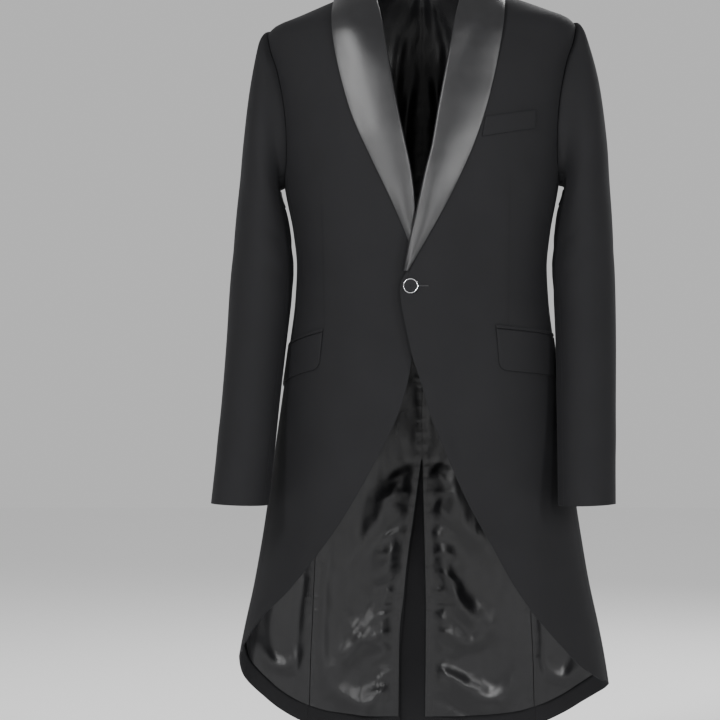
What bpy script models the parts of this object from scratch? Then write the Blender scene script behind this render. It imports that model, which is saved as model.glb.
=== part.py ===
# Black tailcoat with a satin shawl collar, one button and a cutaway front, filled out as if worn.
# Metres, +Z up, the front faces -Y and the wearer's left is +X. The origin lies between the two
# neck points, where the wearer's shoulders hold the coat. Tables and sizes below are in
# millimetres, and each mesh is turned into metres when it is made.

import math

import bpy
import numpy as np

MM = 0.001
WOOL = 1.6
SATIN = 1.4
LINING = 1.0
SEAM_GAP = 0.34
LAY_GAP = 0.7
LINING_GAP = 1.3
LINING_EASE = 2.6
ARMHOLE_GAP = 1.1
ROUNDNESS = 2.3

SIDES = {"right": -1, "left": 1}

SHOULDER_Z = -67
UNDERARM_Z = -302
SEAM_TOP_Z = -272
SKIRT_Z = -600
VENT_Z = -709
CLOSURE_X = -15
SHOULDER_RISE = 13
BACK_NECK_RISE = 13
ARMHOLE_FRONT = 19.5
ARMHOLE_BACK = 21
HEM_BAND = 28
COLLAR_ROLL = 3.1
LAPEL_TUCK = 13

BUTTON_X = -16
BUTTON_Z = -450
BUTTON_RADIUS = 9.2
BUTTON_DEPTH = 3.2
RING_RADIUS = 10.4
RING_THICKNESS = 0.9

# The body's level sections: half width, depth to the front and the back of the widest place,
# and where that place lies.
BODY_COLUMNS = ("height", "half_width", "front", "back", "middle")
BODY_ROWS = (
    (-1180, 298, 152, 150, 32),
    (-1090, 287, 151, 146, 31),
    (-996, 273, 150, 142, 30),
    (-884, 250, 148, 134, 28),
    (-795, 235, 146, 126, 26),
    (-660, 215, 142, 112, 23),
    (-535, 197, 134, 98, 17),
    (-468, 188.5, 129, 90, 13),
    (-419, 186, 128, 90, 11),
    (-370, 191, 130, 96, 10),
    (-300, 204, 134, 107, 10),
    (-240, 211, 133, 113, 10),
    (-180, 216, 128, 113, 11),
    (-129, 222, 120, 109, 13),
    (-95, 229, 111, 103, 15),
    (-76, 230, 104, 97, 16),
    (-62, 219, 98, 91, 17),
    (-48, 187, 91, 85, 17.5),
    (-32, 150, 83, 77, 18),
    (-16, 113, 74, 68, 18),
    (0, 77, 66, 61, 18),
    (20, 73, 62, 57, 18),
)

# Seams as angles round the body, from 0 at the centre front through 90 at the side to 180.
SIDE_FRONT_SEAM = ((-272, 74.5), (-400, 76.5), (-600, 79), (-800, 80), (-1100, 80))
SIDE_BACK_SEAM = ((-272, 104), (-350, 111), (-450, 119), (-600, 128), (-800, 136), (-1180, 143))

# The lower hem's height by angle, for each side.
HEM = {
    "right": ((78, -984), (90, -1002), (100, -1020), (110, -1041), (120, -1065),
              (130, -1092), (140, -1113), (150, -1126), (165, -1135), (180, -1138)),
    "left": ((78, -1030), (90, -1042), (100, -1050), (110, -1060), (120, -1076),
             (130, -1097), (140, -1115), (150, -1127), (165, -1135), (180, -1138)),
}

# Each front's edge below the lapel: height, and distance from the body's centre line.
FRONT_EDGE = {
    "right": ((-437, 1.5), (-484, 4), (-534, 11.5), (-553, 13.8), (-610, 25.7), (-657, 43.4),
              (-704, 66.9), (-757, 96.3), (-804, 125.7), (-851, 160.9), (-895, 196),
              (-930, 231.5), (-954, 250), (-984, 268)),
    "left": ((-437, -29), (-460, -30.9), (-484, -27.9), (-507, -23.3), (-534, -17.5),
             (-551, -13.8), (-594, 0.3), (-642, 13.7), (-660, 21), (-716, 44.7), (-766, 68.2),
             (-825, 100.6), (-883, 132.8), (-933, 168.2), (-974, 203.4), (-1007, 235),
             (-1030, 266)),
}

# The lapel: its roll line and its outer edge, from the closure up to the shoulder.
ROLL_LINE = {
    "right": ((-437, 2), (-400, 3.5), (-360, 6.5), (-316, 11), (-275, 16.9), (-240, 24.5),
              (-193, 34.6), (-146, 43.4), (-105, 50.4), (-63, 58), (-22, 66), (0, 70)),
    "left": ((-437, -27), (-386, -18.1), (-357, -11.1), (-316, -2.2), (-284, 4.8), (-246, 14.3),
             (-204, 21.3), (-157, 30), (-110, 38.9), (-63, 47.7), (-22, 57), (0, 63)),
}
LAPEL_EDGE = {
    "right": ((-430, 6), (-405, 12), (-378, 22), (-322, 46.4), (-266, 72.8), (-198, 102.2),
              (-140, 118.6), (-99, 126.8), (-57, 131), (-22, 127)),
    "left": ((-430, -22), (-392, 0.7), (-345, 27), (-293, 53.6), (-240, 77.1), (-187, 94.7),
             (-140, 106.4), (-99, 114.1), (-57, 119.9), (-22, 121)),
}

# The collar round the neck, from the side of the neck to the centre back: the middle of its
# fold, the foot of its stand inside, and its outer edge.
COLLAR_COLUMNS = ("fold_x", "fold_y", "fold_z", "foot_x", "foot_y", "foot_z",
                  "edge_x", "edge_y", "edge_z")
COLLAR_ROWS = (
    (66, -26, 2, 63, -12, -3, 126, 0, -12),
    (67, -4, 15, 69, 5, 1.5, 124, 22, -13),
    (64, 22, 28, 72, 25, 4, 115, 48, -11.5),
    (55, 46, 37, 66, 49, 7, 92, 67, -8),
    (38, 63, 42, 49, 65, 12, 62, 78, -5),
    (20, 71, 44.5, 26, 74, 14.6, 31, 83, -2.5),
    (0.9, 74, 45, 0.9, 76.8, 15.2, 0.9, 85, -1.5),
)

# The vent at the centre back: where each edge lies, as x at each height.
VENT_EDGE = {
    "right": ((-1140, -34), (-1020, -33), (-940, -27), (-870, -21), (-798, -11), (-709, -0.2)),
    "left": ((-1140, -46), (-1020, -44), (-900, -38), (-800, -24), (-740, -9), (-709, 0.2)),
}
LINING_VENT_EDGE = {
    "right": ((-1140, -36), (-1020, -35), (-940, -29), (-870, -23), (-798, -13), (-709, -1.2)),
    "left": ((-1140, 5), (-966, 6.5), (-870, 5.2), (-770, 2.5), (-709, 1.2)),
}

# The sleeves' rings: the outer and the inner end of each, its middle and half depth, how far
# it has left the armhole's own shape, and how much lower its back lies.
RING_COLUMNS = ("outer_x", "outer_z", "inner_x", "inner_z", "middle_y", "half_depth", "own",
                "slant")
RING_ROWS = {
    "right": (
        (241, -74, 206, -305, 11, 57, 0.2, 0),
        (249, -100, 206.5, -310, 10, 62, 0.5, 0),
        (258, -160, 205, -319, 8, 65, 0.85, 0),
        (266.5, -245, 201.5, -336, 5, 66, 1, 0),
        (273.5, -320, 195.5, -364, 2, 64, 1, 0),
        (280, -395, 190.6, -410, -3, 61, 1, 0),
        (285, -455, 192.2, -460, -8, 58, 1, 0),
        (289, -530, 200, -532, -18, 55, 1, 0),
        (294.7, -617, 209, -618, -36, 51, 1, 0.02),
        (301, -695, 216, -696, -58, 48, 1, 0.04),
        (307.5, -766, 223.5, -768, -78, 46, 1, 0.06),
    ),
    "left": (
        (241, -74, 206, -305, 11, 57, 0.2, 0),
        (252, -100, 206.5, -310, 10, 62, 0.5, 0),
        (266, -160, 205, -319, 8, 65, 0.85, 0),
        (276, -245, 202, -336, 5, 66, 1, 0),
        (281, -320, 197.5, -364, 2, 64, 1, 0),
        (285, -395, 193.5, -410, -3, 61, 1, 0),
        (287, -455, 195.2, -460, -9, 58, 1, 0),
        (287, -530, 197.5, -532, -24, 55, 1, 0),
        (285, -617, 198, -618, -50, 51, 1, 0.02),
        (283, -695, 198, -696, -74, 48, 1, 0.04),
        (282, -766, 198, -768, -92, 46, 1, 0.06),
    ),
}
SLEEVE_FRONT_SEAM = 150
SLEEVE_BACK_SEAM = -100

# The pockets, as angle or distance from the centre line and height of each corner.
FLAP = {
    "right": {"start_x": 144, "end_angle": 97, "top": -517, "top_end": -546, "depth": 53},
    "left": {"start_x": 108, "end_angle": 84, "top": -512, "top_end": -524, "depth": 60},
}
JET_HEIGHT = 5
FLAP_CORNER = 12
WELT = {"inner_x": 92, "outer_x": 166, "inner_top": -208, "outer_top": -201, "inner_foot": -236,
        "outer_foot": -227}

# Counts of faces in each direction.
SHOULDER_ROWS = 4
ARMHOLE_ROWS = 5
WAIST_ROWS = 6
SKIRT_ROWS = 7
FRONT_FACES = 9
SIDE_FACES = 4
BACK_FACES = 7
LINING_BACK_FACES = 7
LINING_SIDE_FACES = 4
TOP_SLEEVE_FACES = 8
UNDER_SLEEVE_FACES = 4
LAPEL_STATIONS = 17
LAPEL_FACES = 5
FLAP_FACES = 12


class Curve:
    """A smooth value through rows of (place, value) that never swings past its rows."""

    def __init__(self, rows):
        places, values = np.array(sorted(rows), float).T
        steps = np.diff(places)
        slopes = np.diff(values) / steps
        tangents = np.zeros(len(places))
        for i in range(1, len(places) - 1):
            before, after = slopes[i - 1], slopes[i]
            if before * after > 0:
                first = 2 * steps[i] + steps[i - 1]
                second = steps[i] + 2 * steps[i - 1]
                tangents[i] = (first + second) / (first / before + second / after)
        tangents[0], tangents[-1] = slopes[0], slopes[-1]
        self.places, self.values, self.tangents = places, values, tangents

    def __call__(self, place):
        place = min(max(place, self.places[0]), self.places[-1])
        i = min(int(np.searchsorted(self.places, place, "right")) - 1, len(self.places) - 2)
        step = self.places[i + 1] - self.places[i]
        t = (place - self.places[i]) / step
        return float(
            (2 * t**3 - 3 * t**2 + 1) * self.values[i]
            + (t**3 - 2 * t**2 + t) * step * self.tangents[i]
            + (3 * t**2 - 2 * t**3) * self.values[i + 1]
            + (t**3 - t**2) * step * self.tangents[i + 1]
        )


def columns_of(columns, rows):
    """A smooth curve for each column after the first, which holds the place."""
    return {
        name: Curve([(row[0], row[i]) for row in rows])
        for i, name in enumerate(columns)
        if i
    }


def ease(value, start, end):
    """0 before start and 1 past end, with a soft rise between them."""
    t = min(max((value - start) / (end - start), 0), 1)
    return t * t * (3 - 2 * t)


def mix(a, b, t):
    return a + (b - a) * t


body = columns_of(BODY_COLUMNS, BODY_ROWS)
side_front_seam = Curve(SIDE_FRONT_SEAM)
side_back_seam = Curve(SIDE_BACK_SEAM)
hem = {side: Curve(rows) for side, rows in HEM.items()}
front_edge = {side: Curve(rows) for side, rows in FRONT_EDGE.items()}
roll_line = {side: Curve(rows) for side, rows in ROLL_LINE.items()}
lapel_edge = {side: Curve(rows) for side, rows in LAPEL_EDGE.items()}
vent_edge = {side: Curve(rows) for side, rows in VENT_EDGE.items()}
lining_vent_edge = {side: Curve(rows) for side, rows in LINING_VENT_EDGE.items()}


# The form that every panel shares

def level_point(side, angle, height):
    """The point of the body's form at an angle from the centre front and a height."""
    sine, cosine = math.sin(math.radians(angle)), math.cos(math.radians(angle))
    depth = body["front"](height) if cosine > 0 else body["back"](height)
    depth *= max(1 - abs(sine) ** ROUNDNESS, 0) ** (1 / ROUNDNESS)
    flute = flute_depth(angle, height)
    across = body["half_width"](height) * sine + flute * sine
    along = body["middle"](height) - math.copysign(depth + flute * abs(cosine), cosine)
    return np.array([SIDES[side] * across, along, height])


def flute_depth(angle, height):
    """Soft upright waves of the skirt, deepest at the hem behind the side."""
    fall = ease(-height, 700, 1120)
    angle = min(angle, 360 - angle)
    return 5 * fall * ease(angle, 84, 112) * math.sin(math.radians((angle - 96) * 6.4))


def normal_at(side, angle, height):
    around = level_point(side, angle + 0.6, height) - level_point(side, angle - 0.6, height)
    upward = level_point(side, angle, height + 3) - level_point(side, angle, height - 3)
    normal = SIDES[side] * np.cross(around, upward)
    return normal / np.linalg.norm(normal)


def layer_lift(side, point, angle):
    """How far the layers part: the left front lies over the right one, and so does its tail."""
    x, height = point[0], point[2]
    if angle < 90:
        near = 1 - ease(abs(x - CLOSURE_X), 22, 100)
        along = ease(-height, 190, 300) * (1 - ease(-height, 560, 700))
        return (6.5 if side == "left" else -3.5) * near * along
    near = 1 - ease(abs(x + 20), 34, 80)
    return (3.2 if side == "left" else -2.8) * near * ease(-height, 610, 680)


def settled(point):
    """The left shoulder sits a little higher than the right one."""
    rise = SHOULDER_RISE * ease(point[0], 20, 225) * (1 - ease(-point[2], 120, 420))
    return point + np.array([0, 0, rise])


def cloth_point(side, angle, height, out=0.0):
    point = level_point(side, angle, height)
    return settled(point + normal_at(side, angle, height) * (out + layer_lift(side, point, angle)))


def angle_of(height, distance, behind=False):
    """The angle whose point lies this far from the centre line at this height."""
    share = min(max(distance / body["half_width"](height), -1), 1)
    angle = math.degrees(math.asin(share))
    return 180 - angle if behind else angle


def gap_angle(height, gap=SEAM_GAP):
    """Half a seam's gap, as an angle round the body."""
    return math.degrees(gap / 2 / body["half_width"](height))


def armhole_angle(height, behind=False):
    """The armhole's edge at a height: one curve to the front and one behind."""
    middle = (SHOULDER_Z + UNDERARM_Z) / 2
    reach = (SHOULDER_Z - UNDERARM_Z) / 2
    turn = math.acos(min(max((height - middle) / reach, -1), 1))
    return 90 + armhole_swing(-turn if behind else turn)


def armhole_swing(turn):
    if turn >= 0:
        return -ARMHOLE_FRONT * math.sin(turn) * (1 - 0.25 * math.cos(turn))
    return -ARMHOLE_BACK * math.sin(turn) * (1 - 0.15 * math.cos(turn))


def armhole_point(side, turn, out):
    """The armhole's edge by its own turn in radians: 0 at the shoulder, pi under the arm."""
    middle = (SHOULDER_Z + UNDERARM_Z) / 2
    height = middle + (SHOULDER_Z - UNDERARM_Z) / 2 * math.cos(turn)
    return cloth_point(side, 90 + armhole_swing(turn), height, out)


# Rows and panels

def rows_between(top, foot, count):
    return [mix(top, foot, i / count) for i in range(count)]


def shoulder_rows():
    return rows_between(-4, SHOULDER_Z, SHOULDER_ROWS) + rows_between(
        SHOULDER_Z, SEAM_TOP_Z, ARMHOLE_ROWS
    )


def height_of(side, row, angle):
    """The height of a row below the armhole, where the lowest rows follow the hem."""
    if row <= WAIST_ROWS:
        return mix(SEAM_TOP_Z, SKIRT_Z, row / WAIST_ROWS)
    return mix(SKIRT_Z, hem[side](angle), (row - WAIST_ROWS) / SKIRT_ROWS)


def seam_place(side, row, seam):
    """Where a row meets a seam whose angle changes with the height."""
    angle = seam(SKIRT_Z)
    for _ in range(12):
        angle = seam(height_of(side, row, angle))
    return angle


def sheet_points(spans, faces, place):
    """Rows of points: each span holds a row's first and last value, and place makes a point."""
    return np.array([
        [place(row, mix(first, last, i / faces)) for i in range(faces + 1)]
        for row, (first, last) in enumerate(spans)
    ])


def make_wall(name, outer, inner, material):
    """A closed cloth wall between two grids of points."""
    rows, columns = outer.shape[:2]
    points = np.concatenate([outer.reshape(-1, 3), inner.reshape(-1, 3)])
    far = rows * columns
    faces = []
    for i in range(rows - 1):
        for j in range(columns - 1):
            a = i * columns + j
            for face in ((a, a + 1, a + columns + 1), (a, a + columns + 1, a + columns)):
                faces += [face, tuple(far + k for k in reversed(face))]
    rim = [j for j in range(columns)]
    rim += [i * columns + columns - 1 for i in range(1, rows)]
    rim += [(rows - 1) * columns + j for j in range(columns - 2, -1, -1)]
    rim += [i * columns for i in range(rows - 2, 0, -1)]
    for a, b in zip(rim, rim[1:] + rim[:1]):
        faces.append((b, a, far + a, far + b))
    if signed_volume(points, faces) < 0:
        faces = [tuple(reversed(face)) for face in faces]
    return make_object(name, points, faces, material)


def signed_volume(points, faces):
    total = 0
    for face in faces:
        a = points[face[0]]
        for b, c in zip(face[1:], face[2:]):
            total += np.dot(a, np.cross(points[b], points[c]))
    return total


def make_object(name, points, faces, material):
    mesh = bpy.data.meshes.new(name)
    mesh.from_pydata((np.asarray(points) * MM).tolist(), [], faces)
    mesh.shade_smooth()
    mesh.set_sharp_from_angle(angle=math.radians(50))
    mesh.materials.append(material)
    made = bpy.data.objects.new(name, mesh)
    coat.objects.link(made)
    return made


def make_panel(name, side, spans, faces, height, out, thickness, material, loose=0):
    """A panel on the shared form; height gives a row's height at an angle, and loose lets the
    middle of the panel hang that much further inside than its edges."""
    def skin(level):
        def place(row, angle):
            first, last = spans[row]
            sag = loose * ease(min(abs(angle - first), abs(last - angle)), 0, 8)
            return cloth_point(side, angle, height(row, angle), level - sag)

        return sheet_points(spans, faces, place)
    return make_wall(name, skin(out), skin(out - thickness), material)


def make_material(name, colour, roughness, metallic=0.0):
    material = bpy.data.materials.new(name)
    material.use_nodes = True
    shader = material.node_tree.nodes["Principled BSDF"]
    shader.inputs["Base Color"].default_value = (*colour, 1)
    shader.inputs["Roughness"].default_value = roughness
    shader.inputs["Metallic"].default_value = metallic
    material.diffuse_color = (*colour, 1)
    return material


# The panels of the body

def upper_spans(side, first_of, behind, inset):
    """The rows above the body seams, from an inner edge to the shoulder seam or armhole."""
    spans = []
    for height in shoulder_rows():
        if height > SHOULDER_Z + 1:
            last = 90.0
        else:
            last = armhole_angle(height, behind)
        trim = gap_angle(height, SEAM_GAP + inset)
        spans.append((first_of(height), last + trim if behind else last - trim))
    return spans


def make_front(side):
    def first_of(height):
        if height > front_edge[side].places[-1]:
            neck_room = 10 * ease(height, -50, -12)
            return angle_of(height, roll_line[side](height) + COLLAR_ROLL + 1.2 + neck_room)
        return angle_of(height, front_edge[side](height))

    spans = upper_spans(side, first_of, False, 0)
    heights = shoulder_rows()
    for row in range(WAIST_ROWS + SKIRT_ROWS + 1):
        seam = seam_place(side, row, side_front_seam)
        height = height_of(side, row, seam)
        heights.append(height)
        spans.append((first_of(height), seam - gap_angle(height)))
    make_panel(f"front_{side}", side, spans, FRONT_FACES, lambda row, angle: heights[row],
               0, WOOL, wool)


def make_side(side, name, inset, foot_rise, out, thickness, faces, material, loose=0):
    def height(row, angle):
        scoop = armhole_scoop(angle) * max(0, 1 - row / 3)
        low = height_of(side, row, angle) + foot_rise * ease(-height_of(side, row, angle), 900, 1000)
        return low + scoop

    spans = []
    for row in range(WAIST_ROWS + SKIRT_ROWS + 1):
        first = seam_place(side, row, side_front_seam)
        last = seam_place(side, row, side_back_seam)
        trim = gap_angle(-500, SEAM_GAP + inset)
        spans.append((first + trim, last - trim))
    make_panel(name, side, spans, faces, height, out, thickness, material, loose)


def armhole_scoop(angle):
    """How far the underarm's curve dips below the height where the body seams start."""
    first, last = side_front_seam(SEAM_TOP_Z), side_back_seam(SEAM_TOP_Z)
    share = min(max((angle - first) / (last - first), 0), 1)
    return (UNDERARM_Z - SEAM_TOP_Z - 1) * math.sin(math.pi * share)


def back_height(side, row, angle, foot_rise=0):
    upper = shoulder_rows()
    if row < len(upper):
        neck = BACK_NECK_RISE * ease(angle, 90, 180) * max(0, 1 - row / 3)
        return upper[row] + neck
    low = height_of(side, row - len(upper), angle)
    return low + foot_rise * ease(-low, 900, 1000)


def centre_back_angle(side, height, edges):
    if height > VENT_Z:
        return 180 - gap_angle(height)
    return angle_of(height, SIDES[side] * edges[side](height), True)


def make_back(side, name, edges, inset, foot_rise, out, thickness, faces, material, loose=0):
    spans = upper_spans(side, lambda height: centre_back_angle(side, height, edges), True, inset * 8)
    for row in range(WAIST_ROWS + SKIRT_ROWS + 1):
        seam = seam_place(side, row, side_back_seam)
        centre = centre_back_angle(side, height_of(side, row, 178), edges)
        spans.append((centre, seam + gap_angle(-500, SEAM_GAP + inset)))
    make_panel(name, side, spans, faces,
               lambda row, angle: back_height(side, row, angle, foot_rise),
               out, thickness, material, loose)


def make_body(side):
    make_front(side)
    make_side(side, f"side_{side}", 0, 0, 0, WOOL, SIDE_FACES, wool)
    make_back(side, f"back_{side}", vent_edge, 0, 0, 0, WOOL, BACK_FACES, wool)
    under = -(WOOL + LINING_GAP)
    make_side(side, f"lining_side_{side}", 0.6, HEM_BAND, under, LINING, LINING_SIDE_FACES,
              satin_lining, LINING_EASE)
    make_back(side, f"lining_back_{side}", lining_vent_edge, 0.6, HEM_BAND, under, LINING,
              LINING_BACK_FACES, satin_lining, LINING_EASE)


# The sleeves

def ring_points(side, row, turns):
    """A sleeve ring's points at turns in degrees: 0 outside, 90 in front, 180 against the body."""
    ring = dict(zip(RING_COLUMNS, RING_ROWS[side][row]))
    outer = np.array([SIDES[side] * ring["outer_x"], ring["middle_y"], ring["outer_z"]])
    inner = np.array([SIDES[side] * ring["inner_x"], ring["middle_y"], ring["inner_z"]])
    centre, reach = (outer + inner) / 2, (outer - inner) / 2
    start = (armhole_point(side, 0, ARMHOLE_GAP) + armhole_point(side, math.pi, ARMHOLE_GAP)) / 2
    points = []
    for turn in turns:
        angle = math.radians(turn)
        behind = -math.sin(angle) * ring["half_depth"]
        drop = max(behind, 0) * ring["slant"] * 2
        oval = centre + reach * math.cos(angle) + np.array([0, behind, -drop])
        oval = settled(oval)
        hole = armhole_point(side, angle, ARMHOLE_GAP) - start + settled(centre)
        points.append(mix(hole, oval, ring["own"]))
    return points


def make_sleeve_part(name, side, first, last, faces):
    trim = 0.3
    turns = [mix(first + trim, last - trim, i / faces) for i in range(-1, faces + 2)]
    hole = [armhole_point(side, math.radians(turn), ARMHOLE_GAP) for turn in turns]
    rings = [hole] + [ring_points(side, row, turns) for row in range(len(RING_ROWS[side]))]
    outer = np.array(rings)
    centres = sleeve_centres(side)
    inner = outer + inward_steps(outer, centres) * WOOL
    make_wall(name, outer[:, 1:-1], inner[:, 1:-1], wool)


def sleeve_centres(side):
    turns = range(0, 360, 30)
    hole = [armhole_point(side, math.radians(turn), ARMHOLE_GAP) for turn in turns]
    rings = [hole] + [ring_points(side, row, turns) for row in range(len(RING_ROWS[side]))]
    return np.array(rings).mean(axis=1)


def inward_steps(grid, centres):
    """A unit step toward the sleeve's inside at each point, square to its surface."""
    around = np.gradient(grid, axis=1)
    along = np.gradient(grid, axis=0)
    steps = np.cross(around, along)
    steps /= np.linalg.norm(steps, axis=2, keepdims=True)
    inside = np.einsum("ijk,ijk->ij", steps, centres[:, None, :] - grid)
    return steps * np.where(inside < 0, -1, 1)[:, :, None]


def make_sleeve(side):
    make_sleeve_part(f"top_sleeve_{side}", side, SLEEVE_BACK_SEAM, SLEEVE_FRONT_SEAM,
                     TOP_SLEEVE_FACES)
    make_sleeve_part(f"under_sleeve_{side}", side, SLEEVE_FRONT_SEAM, 360 + SLEEVE_BACK_SEAM,
                     UNDER_SLEEVE_FACES)


# The shawl collar: a fold of satin, its inner leg behind the front's edge or up from the neck
# seam, and its outer leg lying on the chest and round the neck.

def fold_points(foot, centre, edge_leg, outward):
    """One section: up the inner leg, round the fold and down the outer leg."""
    toward = (edge_leg[-1] - centre) / np.linalg.norm(edge_leg[-1] - centre)
    outward = outward - toward * np.dot(outward, toward)
    outward = outward / np.linalg.norm(outward)
    start = centre - outward * COLLAR_ROLL
    points = [foot, mix(foot, start, 0.5)]
    for turn in (0, 45, 90, 135, 180):
        angle = math.radians(turn)
        points.append(centre - outward * COLLAR_ROLL * math.cos(angle)
                      - toward * COLLAR_ROLL * math.sin(angle))
    return points + edge_leg


def lapel_section(side, height):
    roll = roll_line[side](height)
    edge = lapel_edge[side](height)
    centre_angle = angle_of(height, roll + COLLAR_ROLL)
    foot_angle = angle_of(height, roll + COLLAR_ROLL + LAPEL_TUCK * ease(edge - roll, 2, 26) + 3)
    rest = -WOOL / 2
    centre = cloth_point(side, centre_angle, height, rest)
    foot = cloth_point(side, foot_angle, height, rest - COLLAR_ROLL)
    high = ease(height, -150, -70)
    leg = []
    for i in range(1, LAPEL_FACES + 1):
        share = i / LAPEL_FACES
        distance = mix(roll + COLLAR_ROLL, max(edge, roll + COLLAR_ROLL + 3), share)
        lift = mix(rest + COLLAR_ROLL, LAY_GAP + SATIN / 2 + 3.4 * high, ease(share, 0, 1))
        lift += (1.6 + 4.5 * high) * math.sin(math.pi * share)
        leg.append(cloth_point(side, angle_of(height, distance), height, lift))
    return fold_points(foot, centre, leg, normal_at(side, centre_angle, height))


def collar_section(side, row):
    place = dict(zip(COLLAR_COLUMNS, COLLAR_ROWS[row]))

    def corner(name):
        x, y, z = (place[f"{name}_{axis}"] for axis in "xyz")
        return settled(np.array([SIDES[side] * x, y, z], float))

    centre, foot, edge = corner("fold"), corner("foot"), corner("edge")
    middle = settled(np.array([0.0, 12.0, centre[2]]))
    outward = centre - middle
    outward[2] = 0
    outward /= np.linalg.norm(outward)
    start = centre + outward * COLLAR_ROLL
    leg = []
    for i in range(1, LAPEL_FACES + 1):
        share = i / LAPEL_FACES
        swell = 4.5 * math.sin(math.pi * share)
        leg.append(mix(start, edge, share) + (outward + np.array([0, 0, 0.6])) * swell)
    return fold_points(foot, centre, leg, outward)


def make_collar(side):
    heights = [mix(-428, -24, i / (LAPEL_STATIONS - 1)) for i in range(LAPEL_STATIONS)]
    sections = [lapel_section(side, height) for height in heights]
    sections += [collar_section(side, row) for row in range(len(COLLAR_ROWS))]
    middle = np.array(sections)
    around = np.gradient(middle, axis=1)
    along = np.gradient(middle, axis=0)
    steps = np.cross(around, along)
    steps /= np.linalg.norm(steps, axis=2, keepdims=True)
    steps *= SATIN / 2
    centre_back = steps[-1]
    centre_back[:, 0] = 0
    make_wall(f"shawl_collar_{side}", middle + steps, middle - steps, satin)


# What lies on the fronts

def make_flap(side):
    size = FLAP[side]
    first = angle_of(size["top"], size["start_x"])
    last = size["end_angle"]

    def place(row, angle, level):
        share = (angle - first) / (last - first)
        top = mix(size["top"], size["top_end"], share)
        from_end = min(angle - first, last - angle) * 3.3
        short = FLAP_CORNER * (1 - math.sqrt(1 - max(0, 1 - from_end / FLAP_CORNER) ** 2))
        return cloth_point(side, angle, top - (size["depth"] - short * 0.8) * row / 3, level)

    def jet(row, angle, level):
        share = (angle - first) / (last - first)
        top = mix(size["top"], size["top_end"], share) + 1 + JET_HEIGHT
        return cloth_point(side, angle, top - JET_HEIGHT * row, level)

    for name, maker, rows in (("pocket_flap", place, 4), ("pocket_jet", jet, 2)):
        skins = [
            sheet_points([(first, last)] * rows, FLAP_FACES,
                         lambda row, angle: maker(row, angle, level))
            for level in (LAY_GAP + WOOL, LAY_GAP)
        ]
        make_wall(f"{name}_{side}", *skins, wool)


def make_welt():
    def place(row, share, level):
        x = mix(WELT["inner_x"] - 5 * row, WELT["outer_x"] - row, share)
        top = mix(WELT["inner_top"], WELT["outer_top"], share)
        foot = mix(WELT["inner_foot"], WELT["outer_foot"], share)
        height = mix(top, foot, row)
        return cloth_point("left", angle_of(height, x), height, level)

    skins = [
        sheet_points([(0, 1)] * 2, 6, lambda row, share: place(row, share, level))
        for level in (LAY_GAP + WOOL, LAY_GAP)
    ]
    make_wall("breast_welt", *skins, wool)


def make_button():
    angle = angle_of(BUTTON_Z, BUTTON_X)
    seat = cloth_point("left", angle, BUTTON_Z, SEAM_GAP)
    normal = normal_at("left", angle, BUTTON_Z)
    disc = [(0, 0), (BUTTON_RADIUS, 0), (BUTTON_RADIUS, BUTTON_DEPTH - 0.8),
            (BUTTON_RADIUS - 1.4, BUTTON_DEPTH), (0, BUTTON_DEPTH - 0.5)]
    inside = BUTTON_RADIUS + SEAM_GAP
    ring = [(inside, 0), (inside + RING_THICKNESS, 0), (RING_RADIUS + 0.4, BUTTON_DEPTH * 0.6),
            (inside + RING_THICKNESS * 0.6, BUTTON_DEPTH + 0.2), (inside, BUTTON_DEPTH)]
    turned("button", disc, False, seat, normal, button_cloth)
    turned("button_ring", ring, True, seat, normal, chrome)


def turned(name, profile, closed, seat, normal, material, steps=24):
    """A profile of (radius, height) turned about the normal at a seat."""
    across = np.cross(normal, (0, 0, 1))
    across /= np.linalg.norm(across)
    upward = np.cross(across, normal)
    points, rings = [], []
    for radius, height in profile:
        turns = range(steps) if radius else (0,)
        ring = []
        for i in turns:
            angle = math.tau * i / steps
            side_step = across * math.cos(angle) + upward * math.sin(angle)
            ring.append(len(points))
            points.append(seat + side_step * radius + normal * height)
        rings.append(ring * (steps if not radius else 1))
    pairs = list(zip(rings, rings[1:] + rings[:1])) if closed else list(zip(rings, rings[1:]))
    faces = []
    for low, high in pairs:
        for i in range(steps):
            k = (i + 1) % steps
            face = [low[i], low[k], high[k], high[i]]
            faces.append(tuple(dict.fromkeys(face)))
    points = np.array(points)
    if signed_volume(points - seat, faces) < 0:
        faces = [tuple(reversed(face)) for face in faces]
    make_object(name, points, faces, material)


for old in list(bpy.data.objects):
    bpy.data.objects.remove(old, do_unlink=True)

coat = bpy.data.collections.new("tailcoat")
bpy.context.scene.collection.children.link(coat)

wool = make_material("wool", (0.012, 0.012, 0.014), 0.85)
satin = make_material("satin", (0.02, 0.02, 0.022), 0.32)
satin_lining = make_material("lining", (0.03, 0.03, 0.033), 0.28)
button_cloth = make_material("button_cloth", (0.01, 0.01, 0.012), 0.7)
chrome = make_material("chrome", (0.75, 0.75, 0.76), 0.15, 1.0)

for side in SIDES:
    make_body(side)
    make_sleeve(side)
    make_collar(side)
    make_flap(side)
make_welt()
make_button()
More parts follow.
